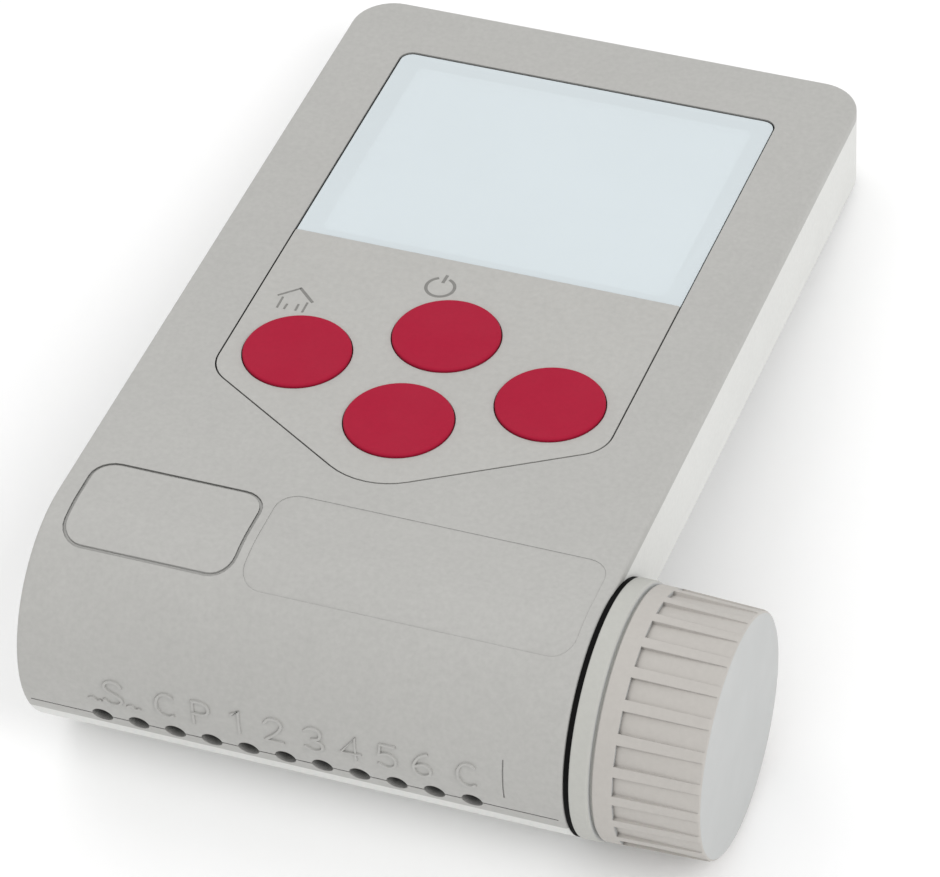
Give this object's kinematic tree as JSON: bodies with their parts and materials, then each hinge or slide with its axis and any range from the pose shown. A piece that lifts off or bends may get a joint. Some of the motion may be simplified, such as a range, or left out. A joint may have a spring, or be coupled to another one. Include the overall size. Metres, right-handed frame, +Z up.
{
  "type": "irrigation controller",
  "caption": "Battery irrigation controller: flat display housing with press buttons over a round barrel with wire outlets and a screw battery cap.",
  "frame": {"origin": "on the ground under the middle of the whole object, which lies on its back on the barrel and the rear edge of the display housing", "axes": "+X along the barrel towards the screw cap, +Y from the barrel towards the top of the display, +Z up; the face leans back by 10.75 degrees, so its top end is lower"},
  "size_m": [0.1238, 0.1738, 0.0455],
  "materials": {
    "shell_grey": "fine moulded grain",
    "shell_light": "fine moulded grain",
    "panel_grey": "smooth satin",
    "lcd_clear": "clear front over a pale display",
    "lcd_cell": "polished",
    "cap_grey": "fine moulded grain",
    "diffuser_white": "smooth",
    "frame_white": "moulded",
    "button_red": "satin silicone",
    "seal_black": "smooth",
    "mat_grey": "satin silicone",
    "board_green": "solder mask",
    "chip_black": "moulded",
    "capacitor_sleeve": "shrunk sleeve",
    "screw_steel": "zinc plated",
    "contact_nickel": "nickel plated",
    "clamp_brass": "stamped",
    "battery_case": "printed steel case",
    "holder_grey": "moulded",
    "terminal_green": "moulded",
    "lead_red": "insulation",
    "foam_grey": "closed-cell foam"
  },
  "bodies": {
    "housing": {"front_shell": "shell_grey", "rear_shell": "shell_light", "shell_gasket": "seal_black", "keypad_panel": "panel_grey", "lcd_window": "lcd_clear", "lcd_glass": "lcd_cell", "lcd_reflector": "diffuser_white", "lcd_frame": "frame_white", "lcd_connectors": "mat_grey", "circuit_board": "board_green", "controller_chip": "chip_black", "capacitors": "capacitor_sleeve", "solenoid_drivers": "chip_black", "keypad_seal": "mat_grey", "key_switches": "chip_black", "board_screws": "screw_steel", "shell_screws": "screw_steel", "battery_holder": "holder_grey", "battery": "battery_case", "battery_terminals": "contact_nickel", "battery_connector": "chip_black", "connector_clips": "contact_nickel", "battery_leads": "lead_red", "terminal_block": "terminal_green", "wire_clamps": "clamp_brass", "wire_seal": "seal_black"},
    "home_key": {"button_home": "button_red"},
    "power_key": {"button_power": "button_red"},
    "lower_key": {"button_lower": "button_red"},
    "right_key": {"button_right": "button_red"},
    "seal_ring": {"cap_seal": "seal_black"},
    "cap": {"battery_cap": "cap_grey", "battery_pad": "foam_grey"}
  },
  "joints": [
    {"name": "home_press", "type": "slide", "parent": "housing", "child": "home_key", "axis": [0, -0.1866, -0.9824], "range_m": [0, 0.0005], "stiffness_N_per_m": 1500},
    {"name": "power_press", "type": "slide", "parent": "housing", "child": "power_key", "axis": [0, -0.1866, -0.9824], "range_m": [0, 0.0005], "stiffness_N_per_m": 1500},
    {"name": "lower_press", "type": "slide", "parent": "housing", "child": "lower_key", "axis": [0, -0.1866, -0.9824], "range_m": [0, 0.0005], "stiffness_N_per_m": 1500},
    {"name": "right_press", "type": "slide", "parent": "housing", "child": "right_key", "axis": [0, -0.1866, -0.9824], "range_m": [0, 0.0005], "stiffness_N_per_m": 1500},
    {"name": "cap_travel", "type": "slide", "parent": "housing", "child": "seal_ring", "axis": [1, 0, 0], "range_m": [0, 0.012]},
    {"name": "cap_turn", "type": "hinge", "parent": "seal_ring", "child": "cap", "pos_m": [0.03895, -0.06417, 0.02275], "axis": [1, 0, 0], "range_deg": [0, 1440]}
  ],
  "couplings": [
    {"joint": "cap_travel", "follows": "cap_turn", "m_per_rad": 0.00047746}
  ]
}
